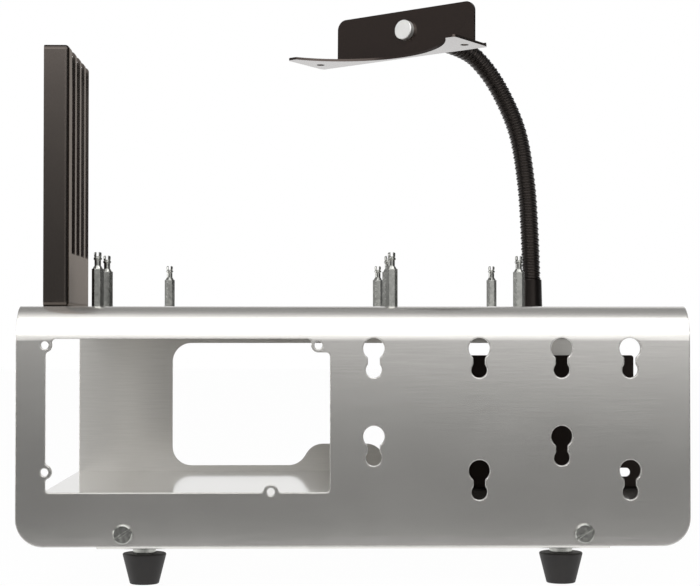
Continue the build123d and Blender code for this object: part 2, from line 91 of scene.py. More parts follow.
def add_node(
    tree: bpy.types.NodeTree, kind: str, inputs: dict | None = None, **settings: object
) -> bpy.types.Node:
    """Adds a node with its settings, its values and its links.

    Args:
        tree: The tree that gets the node.
        kind: The node's type, such as "ShaderNodeBump".
        inputs: For each input by name or number, a value or the socket of
            another node that feeds it.
        **settings: The node's own properties, set before its inputs.

    Returns:
        The new node.
    """
    node = tree.nodes.new(kind)
    for name, value in settings.items():
        setattr(node, name, value)
    for key, value in (inputs or {}).items():
        if isinstance(value, bpy.types.NodeSocket):
            tree.links.new(value, node.inputs[key])
        else:
            node.inputs[key].default_value = value
    return node


def per_mm(*lengths: float) -> tuple[float, ...]:
    """Turns pattern lengths in millimetres to scales for Object coordinates."""
    return tuple(1 / (length * MM) for length in lengths)


class Slot(Enum):
    """The record's material slots."""

    ALUMINIUM = "satin_aluminium"
    POWDER_COAT = "black_powder_coat"
    BLACK_METAL = "black_metal"
    ZINC = "zinc_plate"
    TURNED = "turned_aluminium"
    RUBBER = "black_rubber"


def new_surface(name: str) -> tuple[bpy.types.Material, bpy.types.NodeTree]:
    """Makes a material with an empty node tree.

    Args:
        name: The finish's name.

    Returns:
        The material and its tree.
    """
    material = bpy.data.materials.new(name)
    material.use_nodes = True
    material.node_tree.nodes.clear()
    return material, material.node_tree


def close_surface(tree: bpy.types.NodeTree, shader: bpy.types.Node) -> None:
    """Links a shader node to a new material output."""
    add_node(tree, "ShaderNodeOutputMaterial", {"Surface": shader.outputs[0]})


@dataclass(frozen=True)
class BrushedAluminium:
    """Sheet aluminium, brushed along the bench's width and clear anodised.

    The brushing draws fine level lines, lighter and darker by turns. Under
    the clear oxide the metal has a gloss that mirrors the room softly, and a
    haze that scatters light widely. The sheet's inner side is left as rolled,
    so the haze is stronger there. Handling leaves broad, faint clouds in the
    gloss, and the cut edges catch the light, because they are broken by hand.
    """

    name: str = "brushed_anodised_aluminium"
    colour: str = "#d3d1cd"
    line_colour: str = "#ebe9e5"
    roughness: float = 0.17
    cloud_roughness: float = 0.185
    haze_roughness: float = 0.62
    haze_share: float = 0.25
    inner_haze_share: float = 0.6
    inside: tuple[float, float, float] = (0.0, 0.0, 90.0)  # a point in the body
    line_length: float = 22.0
    line_width: float = 0.45  # real lines are 0.1 mm; coarse enough to show
    line_depth: float = 0.0015
    cloud_size: float = 38.0
    cloud_span: tuple[float, float] = (0.42, 0.72)  # of the noise
    turn_over: float = 2.0  # over which the outer side's haze becomes the inner's
    edge_radius: float = 0.9

    def build(self) -> bpy.types.Material:
        """Builds the finish.

        Returns:
            The finish as a material.
        """
        material, tree = new_surface(self.name)
        place = add_node(tree, "ShaderNodeTexCoord").outputs["Object"]
        edges = add_node(tree, "ShaderNodeBevel", {"Radius": self.edge_radius * MM})
        along = add_node(
            tree,
            "ShaderNodeMapping",
            {
                "Vector": place,
                "Scale": per_mm(self.line_length, self.line_width, self.line_width),
            },
        )
        lines = add_node(
            tree,
            "ShaderNodeTexNoise",
            {"Vector": along.outputs[0], "Scale": 1.0, "Detail": 3.0, "Roughness": 0.6},
        )
        clouds = add_node(
            tree,
            "ShaderNodeTexNoise",
            {"Vector": place, "Scale": per_mm(self.cloud_size)[0], "Detail": 4.0},
        )
        span = add_node(
            tree,
            "ShaderNodeMapRange",
            {
                "Value": clouds.outputs["Fac"],
                "From Min": self.cloud_span[0],
                "From Max": self.cloud_span[1],
                "To Min": self.roughness,
                "To Max": self.cloud_roughness,
            },
        )
        tint = add_node(
            tree,
            "ShaderNodeMix",
            {
                "Factor": lines.outputs["Fac"],
                "A": linear(self.colour),
                "B": linear(self.line_colour),
            },
            data_type="RGBA",
        )
        relief = add_node(
            tree,
            "ShaderNodeBump",
            {
                "Height": lines.outputs["Fac"],
                "Strength": 1.0,
                "Distance": self.line_depth * MM,
                "Normal": edges.outputs[0],
            },
        )
        lobes = [
            add_node(
                tree,
                "ShaderNodeBsdfPrincipled",
                {
                    "Base Color": tint.outputs["Result"],
                    "Metallic": 1.0,
                    "Roughness": roughness,
                    "Normal": relief.outputs["Normal"],
                },
            )
            for roughness in (span.outputs["Result"], self.haze_roughness)
        ]
        facing = add_node(tree, "ShaderNodeNewGeometry").outputs["True Normal"]
        away = add_node(
            tree,
            "ShaderNodeVectorMath",
            {0: place, 1: [length * MM for length in self.inside]},
            operation="SUBTRACT",
        )
        outward = add_node(
            tree,
            "ShaderNodeVectorMath",
            {0: facing, 1: away.outputs["Vector"]},
            operation="DOT_PRODUCT",
        )
        haze = add_node(
            tree,
            "ShaderNodeMapRange",
            {
                "Value": outward.outputs["Value"],
                "From Min": -self.turn_over * MM,
                "From Max": self.turn_over * MM,
                "To Min": self.inner_haze_share,
                "To Max": self.haze_share,
            },
        )
        shader = add_node(
            tree,
            "ShaderNodeMixShader",
            {
                0: haze.outputs["Result"],
                1: lobes[0].outputs[0],
                2: lobes[1].outputs[0],
            },
        )
        close_surface(tree, shader)
        return material


@dataclass(frozen=True)
class PowderCoat:
    """Black polyester powder coat on steel sheet, cured to a fine orange peel.

    It stays near black face on, and mirrors a pale room at a low angle.
    """

    name: str = "black_polyester_powder_coat"
    colour: str = "#100b09"
    worn_colour: str = "#17100e"
    gloss_tint: str = "#f2dfd5"  # face on, from the coat's brown binder
    roughness: float = 0.22
    ior: float = 1.6
    peel_size: float = 1.6
    peel_depth: float = 0.006
    cloud_size: float = 24.0

    def build(self) -> bpy.types.Material:
        """Builds the finish.

        Returns:
            The finish as a material.
        """
        material, tree = new_surface(self.name)
        place = add_node(tree, "ShaderNodeTexCoord").outputs["Object"]
        peel = add_node(
            tree,
            "ShaderNodeTexNoise",
            {"Vector": place, "Scale": per_mm(self.peel_size)[0], "Detail": 2.0},
        )
        clouds = add_node(
            tree,
            "ShaderNodeTexNoise",
            {"Vector": place, "Scale": per_mm(self.cloud_size)[0], "Detail": 3.0},
        )
        tint = add_node(
            tree,
            "ShaderNodeMix",
            {
                "Factor": clouds.outputs["Fac"],
                "A": linear(self.colour),
                "B": linear(self.worn_colour),
            },
            data_type="RGBA",
        )
        relief = add_node(
            tree,
            "ShaderNodeBump",
            {
                "Height": peel.outputs["Fac"],
                "Strength": 1.0,
                "Distance": self.peel_depth * MM,
            },
        )
        shader = add_node(
            tree,
            "ShaderNodeBsdfPrincipled",
            {
                "Base Color": tint.outputs["Result"],
                "Roughness": self.roughness,
                "IOR": self.ior,
                "Specular Tint": linear(self.gloss_tint),
                "Normal": relief.outputs["Normal"],
            },
        )
        close_surface(tree, shader)
        return material


@dataclass(frozen=True)
class FlakePowderCoat:
    """Warm black powder coat with a fine metal flake under its clear top.

    The flake gives it a soft brown gloss face on, which rises little at a low
    angle, where a plain coat would mirror the room.
    """

    name: str = "warm_black_flake_powder_coat"
    colour: str = "#45403d"
    flake_colour: str = "#4c4743"
    low_angle_tint: str = "#c3bab2"
    roughness: float = 0.26
    grain_size: float = 0.9
    grain_depth: float = 0.004
    cloud_size: float = 24.0

    def build(self) -> bpy.types.Material:
        """Builds the finish.

        Returns:
            The finish as a material.
        """
        material, tree = new_surface(self.name)
        place = add_node(tree, "ShaderNodeTexCoord").outputs["Object"]
        grain = add_node(
            tree,
            "ShaderNodeTexNoise",
            {"Vector": place, "Scale": per_mm(self.grain_size)[0], "Detail": 2.0},
        )
        clouds = add_node(
            tree,
            "ShaderNodeTexNoise",
            {"Vector": place, "Scale": per_mm(self.cloud_size)[0], "Detail": 3.0},
        )
        tint = add_node(
            tree,
            "ShaderNodeMix",
            {
                "Factor": clouds.outputs["Fac"],
                "A": linear(self.colour),
                "B": linear(self.flake_colour),
            },
            data_type="RGBA",
        )
        relief = add_node(
            tree,
            "ShaderNodeBump",
            {
                "Height": grain.outputs["Fac"],
                "Strength": 1.0,
                "Distance": self.grain_depth * MM,
            },
        )
        shader = add_node(
            tree,
            "ShaderNodeBsdfPrincipled",
            {
                "Base Color": tint.outputs["Result"],
                "Metallic": 1.0,
                "Specular Tint": linear(self.low_angle_tint),
                "Roughness": self.roughness,
                "Normal": relief.outputs["Normal"],
            },
        )
        close_surface(tree, shader)
        return material


@dataclass(frozen=True)
class BlackedSteel:
    """Steel with a black dip finish: smooth, with a soft, oily gloss."""

    name: str = "black_dipped_steel"
    colour: str = "#060505"
    gloss_tint: str = "#e9dad1"  # of the oil in the dip's brown-black oxide
    roughness: float = 0.3
    gloss_change: float = 0.05  # the roughness goes up and down by this
    ior: float = 1.4
    grain_size: float = 0.9
    grain_depth: float = 0.006

    def build(self) -> bpy.types.Material:
        """Builds the finish.

        Returns:
            The finish as a material.
        """
        material, tree = new_surface(self.name)
        place = add_node(tree, "ShaderNodeTexCoord").outputs["Object"]
        grain = add_node(
            tree,
            "ShaderNodeTexNoise",
            {"Vector": place, "Scale": per_mm(self.grain_size)[0], "Detail": 3.0},
        )
        span = add_node(
            tree,
            "ShaderNodeMapRange",
            {
                "Value": grain.outputs["Fac"],
                "To Min": self.roughness - self.gloss_change,
                "To Max": self.roughness + self.gloss_change,
            },
        )
        relief = add_node(
            tree,
            "ShaderNodeBump",
            {
                "Height": grain.outputs["Fac"],
                "Strength": 1.0,
                "Distance": self.grain_depth * MM,
            },
        )
        shader = add_node(
            tree,
            "ShaderNodeBsdfPrincipled",
            {
                "Base Color": linear(self.colour),
                "Roughness": span.outputs["Result"],
                "IOR": self.ior,
                "Specular Tint": linear(self.gloss_tint),
                "Normal": relief.outputs["Normal"],
            },
        )
        close_surface(tree, shader)
        return material


@dataclass(frozen=True)
class ZincPlate:
    """Bright zinc plate on turned steel: silver with a fine mottle.

    The plate rounds the hexagon's edges a little, so that they catch light.
    """

    name: str = "bright_zinc_plate"
    colour: str = "#c4c4bf"
    dull_colour: str = "#8c8d89"
    roughness: float = 0.15
    bright_change: float = 0.06  # the roughness of the brightest spots is less
    dull_change: float = 0.08  # and of the dullest is more, by these
    mottle_size: float = 2.2
    line_depth: float = 0.004
    line_width: float = 0.35
    line_length: float = 9.0
    edge_radius: float = 0.5

    def build(self) -> bpy.types.Material:
        """Builds the finish.

        Returns:
            The finish as a material.
        """
        material, tree = new_surface(self.name)
        place = add_node(tree, "ShaderNodeTexCoord").outputs["Object"]
        mottle = add_node(
            tree,
            "ShaderNodeTexNoise",
            {"Vector": place, "Scale": per_mm(self.mottle_size)[0], "Detail": 3.0},
        )
        tint = add_node(
            tree,
            "ShaderNodeMix",
            {
                "Factor": mottle.outputs["Fac"],
                "A": linear(self.dull_colour),
                "B": linear(self.colour),
            },
            data_type="RGBA",
        )
        span = add_node(
            tree,
            "ShaderNodeMapRange",
            {
                "Value": mottle.outputs["Fac"],
                "To Min": self.roughness - self.bright_change,
                "To Max": self.roughness + self.dull_change,
            },
        )
        rings = add_node(
            tree,
            "ShaderNodeMapping",
            {
                "Vector": place,
                "Scale": per_mm(self.line_length, self.line_length, self.line_width),
            },
        )
        turning = add_node(
            tree,
            "ShaderNodeTexNoise",
            {"Vector": rings.outputs[0], "Scale": 1.0, "Detail": 1.0},
        )
        rounded = add_node(
            tree, "ShaderNodeBevel", {"Radius": self.edge_radius * MM}, samples=4
        )
        relief = add_node(
            tree,
            "ShaderNodeBump",
            {
                "Height": turning.outputs["Fac"],
                "Strength": 1.0,
                "Distance": self.line_depth * MM,
                "Normal": rounded.outputs["Normal"],
            },
        )
        shader = add_node(
            tree,
            "ShaderNodeBsdfPrincipled",
            {
                "Base Color": tint.outputs["Result"],
                "Metallic": 1.0,
                "Roughness": span.outputs["Result"],
                "Normal": relief.outputs["Normal"],
            },
        )
        close_surface(tree, shader)
        return material


@dataclass(frozen=True)
class TurnedAluminium:
    """Aluminium faced on a lathe: bright, with fine rings round its axis."""

    axis_point: tuple[float, float, float]
    axis: tuple[float, float, float]
    name: str = "turned_aluminium"
    colour: str = "#e9e9e7"
    roughness: float = 0.6
    ring_pitch: float = 1.5  # a real facing feed is 0.1 mm; coarse enough to show
    ring_depth: float = 0.05

    def build(self) -> bpy.types.Material:
        """Builds the finish.

        Returns:
            The finish as a material.
        """
        material, tree = new_surface(self.name)
        place = add_node(tree, "ShaderNodeTexCoord").outputs["Object"]
        turn = Vector(self.axis).to_track_quat("Z", "X").to_matrix().inverted()
        centred = add_node(
            tree,
            "ShaderNodeVectorMath",
            {0: place, 1: self.axis_point},
            operation="SUBTRACT",
        )
        upright = add_node(
            tree,
            "ShaderNodeMapping",
            {"Vector": centred.outputs[0], "Rotation": turn.to_euler("XYZ")},
        )
        rings = add_node(
            tree,
            "ShaderNodeTexWave",
            {
                "Vector": upright.outputs[0],
                "Scale": per_mm(self.ring_pitch)[0] * RING_WIDTH,
                "Distortion": 0.4,
                "Detail": 2.0,
            },
            wave_type="RINGS",
            rings_direction="Z",
        )
        relief = add_node(
            tree,
            "ShaderNodeBump",
            {
                "Height": rings.outputs["Fac"],
                "Strength": 1.0,
                "Distance": self.ring_depth * MM,
            },
        )
        shader = add_node(
            tree,
            "ShaderNodeBsdfPrincipled",
            {
                "Base Color": linear(self.colour),
                "Metallic": 1.0,
                "Roughness": self.roughness,
                "Normal": relief.outputs["Normal"],
            },
        )
        close_surface(tree, shader)
        return material


@dataclass(frozen=True)
class MouldedRubber:
    """Black moulded rubber: a matt skin with a faint grey bloom."""

    name: str = "black_moulded_rubber"
    colour: str = "#0e0b0a"
    bloom_colour: str = "#1b1715"
    roughness: float = 0.58
    grain_size: float = 0.7
    grain_depth: float = 0.015
    bloom_size: float = 7.0

    def build(self) -> bpy.types.Material:
        """Builds the finish.

        Returns:
            The finish as a material.
        """
        material, tree = new_surface(self.name)
        place = add_node(tree, "ShaderNodeTexCoord").outputs["Object"]
        grain = add_node(
            tree,
            "ShaderNodeTexNoise",
            {"Vector": place, "Scale": per_mm(self.grain_size)[0], "Detail": 3.0},
        )
        bloom = add_node(
            tree,
            "ShaderNodeTexNoise",
            {"Vector": place, "Scale": per_mm(self.bloom_size)[0], "Detail": 3.0},
        )
        tint = add_node(
            tree,
            "ShaderNodeMix",
            {
                "Factor": bloom.outputs["Fac"],
                "A": linear(self.colour),
                "B": linear(self.bloom_colour),
            },
            data_type="RGBA",
        )
        relief = add_node(
            tree,
            "ShaderNodeBump",
            {
                "Height": grain.outputs["Fac"],
                "Strength": 1.0,
                "Distance": self.grain_depth * MM,
            },
        )
        shader = add_node(
            tree,
            "ShaderNodeBsdfPrincipled",
            {
                "Base Color": tint.outputs["Result"],
                "Roughness": self.roughness,
                "Normal": relief.outputs["Normal"],
            },
        )
        close_surface(tree, shader)
        return material


@dataclass
class SubAssembly:
    """CAD nodes that keep their shapes and share their finishes."""

    title: str
    nodes: dict[str, bpy.types.Material]

    def dress(self, shapes: dict[str, bpy.types.Object]) -> None:
        """Gives each node its finish.

        Args:
            shapes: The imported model's nodes by name.
        """
        for name, finish in self.nodes.items():
            mesh = shapes[name].data
            mesh.materials.clear()
            mesh.materials.append(finish)
            log.info("%s: %s in %s", self.title, name, finish.name)


@dataclass
class FlexibleArm:
    """The gooseneck: a round wire wound open, with a thinner wire in its gap.

    The route starts in the ferrule on the deck and ends in the fitting behind
    the fan plate. Its rises are measured from the ferrule's flange.
    """

    base: Vector
    pivot: Vector
    axis: Vector
    finish: bpy.types.Material
    replaces: str = "flexible_arm"
    body: str = "bench"
    socket_floor: float = 6.5
    socket_mouth: float = 19.5
    end_floor: float = 4.75
    end_mouth: float = 17.75
    bends: list[tuple[float, float, float]] = field(
        default_factory=lambda: [
            (-1.0, 0.6, 50.0),
            (-3.0, 1.5, 80.0),
            (-8.0, 3.5, 111.0),
            (-18.5, 4.5, 136.5),
            (-30.0, 1.5, 153.0),
            (-42.5, -6.0, 161.5),
        ]
    )
    crest_radius: float = 5.75
    wire_pitch: float = 3.4
    groove_depth: float = 1.0
    turn_steps: int = 12
    sides: int = 36
    # one pitch of the winding: the round wire, then the thin wire lower down
    winding: tuple[tuple[float, float], ...] = (
        (0.0, 0.0),
        (0.06, 0.62),
        (0.3, 1.0),
        (0.54, 0.62),
        (0.6, 0.05),
        (0.66, 0.5),
        (0.8, 0.72),
        (0.94, 0.5),
        (1.0, 0.0),
    )

    def route(self) -> list[Vector]:
        """Lays out the arm's middle line.

        Returns:
            The points that it follows, in metres.
        """
        start = [
            self.base + Vector((0, 0, rise * MM))
            for rise in (self.socket_floor, self.socket_mouth)
        ]
        middle = [self.base + Vector(step) * MM for step in self.bends]
        end = [
            self.pivot + self.axis * (reach * MM)
            for reach in (self.end_mouth, self.end_floor)
        ]
        return start + middle + end

    def winding_tree(self) -> tuple[bpy.types.NodeTree, dict[str, str]]:
        """Builds the nodes that wind the wires round a route.

        Returns:
            The tree, and its inputs' identifiers by name.
        """
        tree = bpy.data.node_groups.new("wound_wire", "GeometryNodeTree")
        kinds = {
            "Route": "NodeSocketGeometry",
            "Radius": "NodeSocketFloat",
            "Pitch": "NodeSocketFloat",
            "Step": "NodeSocketFloat",
            "Depth": "NodeSocketFloat",
            "Sides": "NodeSocketInt",
            "Finish": "NodeSocketMaterial",
        }
        sockets = {
            name: tree.interface.new_socket(
                name=name, in_out="INPUT", socket_type=kind
            ).identifier
            for name, kind in kinds.items()
        }
        tree.interface.new_socket(
            name="Winding", in_out="OUTPUT", socket_type="NodeSocketGeometry"
        )
        given = add_node(tree, "NodeGroupInput").outputs
        line = add_node(tree, "GeometryNodeMeshToCurve", {"Mesh": given["Route"]})
        smooth = add_node(
            tree,
            "GeometryNodeCurveSplineType",
            {"Curve": line.outputs[0]},
            spline_type="CATMULL_ROM",
        )
        stepped = add_node(
            tree,
            "GeometryNodeResampleCurve",
            {"Curve": smooth.outputs[0], "Length": given["Step"]},
            mode="LENGTH",
        )
        along = add_node(tree, "GeometryNodeSplineParameter")
        marked = add_node(
            tree,
            "GeometryNodeStoreNamedAttribute",
            {
                "Geometry": stepped.outputs[0],
                "Name": "along",
                "Value": along.outputs["Length"],
            },
            data_type="FLOAT",
            domain="POINT",
        )
        ring = add_node(
            tree,
            "GeometryNodeCurvePrimitiveCircle",
            {"Resolution": given["Sides"], "Radius": given["Radius"]},
            mode="RADIUS",
        )
        marked_ring = add_node(
            tree,
            "GeometryNodeStoreNamedAttribute",
            {
                "Geometry": ring.outputs[0],
                "Name": "turn",
                "Value": along.outputs["Factor"],
            },
            data_type="FLOAT",
            domain="POINT",
        )
        tube = add_node(
            tree,
            "GeometryNodeCurveToMesh",
            {
                "Curve": marked.outputs[0],
                "Profile Curve": marked_ring.outputs[0],
                "Fill Caps": True,
            },
        )
        read_along, read_turn = (
            add_node(
                tree,
                "GeometryNodeInputNamedAttribute",
                {"Name": name},
                data_type="FLOAT",
            )
            for name in ("along", "turn")
        )
        turns = add_node(
            tree,
            "ShaderNodeMath",
            {0: read_along.outputs[0], 1: given["Pitch"]},
            operation="DIVIDE",
        )
        helix = add_node(
            tree,
            "ShaderNodeMath",
            {0: turns.outputs[0], 1: read_turn.outputs[0]},
            operation="ADD",
        )
        phase = add_node(
            tree, "ShaderNodeMath", {0: helix.outputs[0]}, operation="FRACT"
        )
        section = add_node(
            tree, "ShaderNodeFloatCurve", {"Value": phase.outputs[0]}
        )
        points = section.mapping.curves[0].points
        points[0].location, points[1].location = self.winding[0], self.winding[-1]
        for spot in self.winding[1:-1]:
            points.new(*spot)
        section.mapping.update()
        sunk = add_node(
            tree,
            "ShaderNodeMath",
            {0: section.outputs[0], 1: 1.0},
            operation="SUBTRACT",
        )
        height = add_node(
            tree,
            "ShaderNodeMath",
            {0: sunk.outputs[0], 1: given["Depth"]},
            operation="MULTIPLY",
        )
        outward = add_node(tree, "GeometryNodeInputNormal")
        shift = add_node(
            tree,
            "ShaderNodeVectorMath",
            {0: outward.outputs[0], "Scale": height.outputs[0]},
            operation="SCALE",
        )
        wound = add_node(
            tree,
            "GeometryNodeSetPosition",
            {"Geometry": tube.outputs[0], "Offset": shift.outputs[0]},
        )
        soft = add_node(
            tree,
            "GeometryNodeSetShadeSmooth",
            {"Geometry": wound.outputs[0], "Shade Smooth": True},
        )
        real = add_node(
            tree, "GeometryNodeRealizeInstances", {"Geometry": soft.outputs[0]}
        )
        dressed = add_node(
            tree,
            "GeometryNodeSetMaterial",
            {"Geometry": real.outputs[0], "Material": given["Finish"]},
        )
        add_node(tree, "NodeGroupOutput", {0: dressed.outputs[0]})
        return tree, sockets

    def build(self) -> bpy.types.Object:
        """Winds the wires round the route and puts them on the bench.

        Returns:
            The arm as a plain mesh object.
        """
        points = self.route()
        line = bpy.data.meshes.new("arm_route")
        line.from_pydata(points, [(i, i + 1) for i in range(len(points) - 1)], [])
        host = bpy.data.objects.new("arm_route", line)
        bpy.context.scene.collection.objects.link(host)
        tree, sockets = self.winding_tree()
        modifier = host.modifiers.new("winding", "NODES")
        modifier.node_group = tree
        given = {
            "Radius": self.crest_radius * MM,
            "Pitch": self.wire_pitch * MM,
            "Step": self.wire_pitch / self.turn_steps * MM,
            "Depth": self.groove_depth * MM,
            "Sides": self.sides,
            "Finish": self.finish,
        }
        for name, value in given.items():
            modifier[sockets[name]] = value
        shown = host.evaluated_get(bpy.context.evaluated_depsgraph_get())
        mesh = bpy.data.meshes.new_from_object(shown)
        bpy.data.objects.remove(host)
        arm = bpy.data.objects.new("flexible_arm_winding", mesh)
        bpy.context.scene.collection.objects.link(arm)
        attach(arm, self.body)
        log.info("flexible arm: %d faces", len(mesh.polygons))
        return arm


@dataclass(frozen=True)
class SoftBox:
    """A flat rectangular lamp with its place, its target and its size."""

    name: str
    place: tuple[float, float, float]
    target: tuple[float, float, float]
    size: tuple[float, float]
    brightness: float  # where 1 is white

    def hang(self) -> None:
        """Hangs the lamp, turned to its target."""
        data = bpy.data.lights.new(self.name, "AREA")
        data.shape = "RECTANGLE"
        data.size, data.size_y = (side * MM for side in self.size)
        data.energy = self.brightness * math.pi * data.size * data.size_y
        lamp = bpy.data.objects.new(self.name, data)
        lamp.location = Vector(self.place) * MM
        backward = Vector(self.place) - Vector(self.target)
        lamp.rotation_euler = backward.to_track_quat("Z", "Y").to_euler()
        bpy.context.scene.collection.objects.link(lamp)


@dataclass
class Studio:
    """A white sweep, two softboxes and a lit room, and the photograph's camera.

    One wide softbox hangs over the front of the bench, and one stands beside
    its left end. The room gives the metal what it mirrors: light above the
    front horizon, dark overhead, and white behind.
    """

    panel_face: float  # metres, the front panel's Y
    floor_reach: float = 6000.0
    floor_colour: str = "#ffffff"
    floor_glow: float = 0.975
    painted_glow_span: tuple[float, float] = (60.0, 210.0)  # in front of the panel, where metal sees the floor's painted glow
    painted_glow_level: float = 1.1  # painted light: the floor's glow that metal mirrors near the bench
    painted_dark_level: float = 0.02  # painted shade: the floor's glow in metal further out in front
    painted_back_span: tuple[float, float] = (100.0, 700.0)  # behind the bench
    painted_back_glow: float = 0.8  # painted light: a glow that metal mirrors from the floor there, in place of light on the backdrop
    # the room from the front horizon over the top to the rear horizon:
    # degrees, and brightness where 1 is white
    room: tuple[tuple[float, float], ...] = (
        (-12.0, 0.12),
        (-8.0, 0.2),
        (-5.0, 0.33),
        (0.0, 0.88),
        (4.0, 1.08),
        (8.0, 1.2),
        (12.0, 1.4),
        (17.0, 1.6),
        (30.0, 1.6),
        (42.0, 0.0),
        (66.0, 0.0),
        (76.0, 1.5),
        (82.0, 1.5),
        (88.0, 1.2),
        (92.0, 0.98),
        (97.0, 0.72),
        (107.0, 0.4),
        (118.0, 0.3),
        (145.0, 0.3),
        (158.0, 1.1),
        (180.0, 1.2),
    )
    room_peak: float = 1.6
    room_tilt: float = 0.58  # the room in front is lighter on the right
    side_glow: tuple[float, float] = (0.55, 0.12)  # on the left and the right
    side_start: tuple[float, float] = (0.42, 0.7)
    softboxes: tuple[SoftBox, ...] = (
        SoftBox("overhead", (0, -529, 594), (0, -192, 140), (1300, 695), 2.1),
        SoftBox("beside", (-800, 0, 90), (0, 0, 90), (500, 300), 3.0),
    )
    focal_px: float = 1896.0
    frame_px: float = 700.0
    sensor: float = 36.0
    camera_x: float = -22.4
    camera_before_panel: float = 958.6
    camera_height: float = 127.8
    camera_pitch: float = 0.0221
    camera_yaw: float = -0.0212

    def camera(self) -> None:
        """Makes the camera at the photograph's viewpoint."""
        data = bpy.data.cameras.new("photo_camera")
        data.sensor_fit = "HORIZONTAL"
        data.sensor_width = self.sensor
        data.lens = self.focal_px / self.frame_px * self.sensor
        data.clip_end = 50.0
        camera = bpy.data.objects.new("photo_camera", data)
        camera.location = (
            self.camera_x * MM,
            self.panel_face - self.camera_before_panel * MM,
            self.camera_height * MM,
        )
        camera.rotation_euler = (
            math.pi / 2 + self.camera_pitch,
            0.0,
            self.camera_yaw,
        )
        bpy.context.scene.collection.objects.link(camera)
        bpy.context.scene.camera = camera

    def straight_ray(self, tree: bpy.types.NodeTree) -> bpy.types.NodeSocket:
        """Tells what the camera sees directly, or through glass.

        Args:
            tree: The tree that gets the nodes.

        Returns:
            A socket that gives 1 for such a ray and 0 for any other.
        """
        ray = add_node(tree, "ShaderNodeLightPath").outputs
        seen = add_node(
            tree,
            "ShaderNodeMath",
            {0: ray["Is Camera Ray"], 1: ray["Is Transmission Ray"]},
            operation="MAXIMUM",
        )
        return seen.outputs[0]

    def floor(self) -> None:
        """Lays the white floor, which keeps a faint shadow of the bench.

        In metal the floor shows painted light instead of its shading: a painted glow
        near the panel, painted shade further out in front, and a painted glow behind
        the bench.
        """
        reach = self.floor_reach * MM
        mesh = bpy.data.meshes.new("floor")
        corners = [(-1, -1), (1, -1), (1, 1), (-1, 1)]
        mesh.from_pydata(
            [(x * reach, y * reach, 0) for x, y in corners], [], [(0, 1, 2, 3)]
        )
        floor = bpy.data.objects.new("floor", mesh)
        bpy.context.scene.collection.objects.link(floor)
        material, tree = new_surface("white_paper_sweep")
        place = add_node(tree, "ShaderNodeTexCoord").outputs["Object"]
        parts = add_node(tree, "ShaderNodeSeparateXYZ", {0: place})
        near, far = (self.panel_face - reach * MM for reach in self.painted_glow_span)
        lit = add_node(
            tree,
            "ShaderNodeMapRange",
            {"Value": parts.outputs["Y"], "From Min": far, "From Max": near},
            interpolation_type="SMOOTHSTEP",
        )
        paper = add_node(
            tree, "ShaderNodeBsdfDiffuse", {"Color": linear(self.floor_colour)}
        )
        # Painted light: in metal the floor glows brightly near the panel, and painted
        # shade further out in front
        painted_front_glow = add_node(
            tree,
            "ShaderNodeMapRange",
            {
                "Value": lit.outputs["Result"],
                "To Min": self.painted_dark_level,
                "To Max": self.painted_glow_level,
            },
        )
        start, end = (reach * MM for reach in self.painted_back_span)
        # Painted light: more glow in metal on the floor behind the bench
        behind = add_node(
            tree,
            "ShaderNodeMapRange",
            {
                "Value": parts.outputs["Y"],
                "From Min": start,
                "From Max": end,
                "To Max": self.painted_back_glow,
            },
            interpolation_type="SMOOTHSTEP",
        )
        level = add_node(
            tree,
            "ShaderNodeMath",
            {0: painted_front_glow.outputs["Result"], 1: behind.outputs["Result"]},
            operation="ADD",
        )
        # The floor's painted reflection: an emission that only glossy rays see, so it
        # keeps no shadow
        painted_floor_reflection = add_node(
            tree,
            "ShaderNodeEmission",
            {"Color": (1, 1, 1, 1), "Strength": level.outputs[0]},
        )
        ray = add_node(tree, "ShaderNodeLightPath").outputs
        solid = add_node(
            tree,
            "ShaderNodeMixShader",
            {0: ray["Is Glossy Ray"], 1: paper.outputs[0], 2: painted_floor_reflection.outputs[0]},
        )
        glow = add_node(
            tree, "ShaderNodeEmission", {"Color": (1, 1, 1, 1), "Strength": 1.0}
        )
        share = add_node(
            tree,
            "ShaderNodeMath",
            {0: self.straight_ray(tree), 1: self.floor_glow},
            operation="MULTIPLY",
        )
        both = add_node(
            tree,
            "ShaderNodeMixShader",
            {0: share.outputs[0], 1: solid.outputs[0], 2: glow.outputs[0]},
        )
        close_surface(tree, both)
        mesh.materials.append(material)

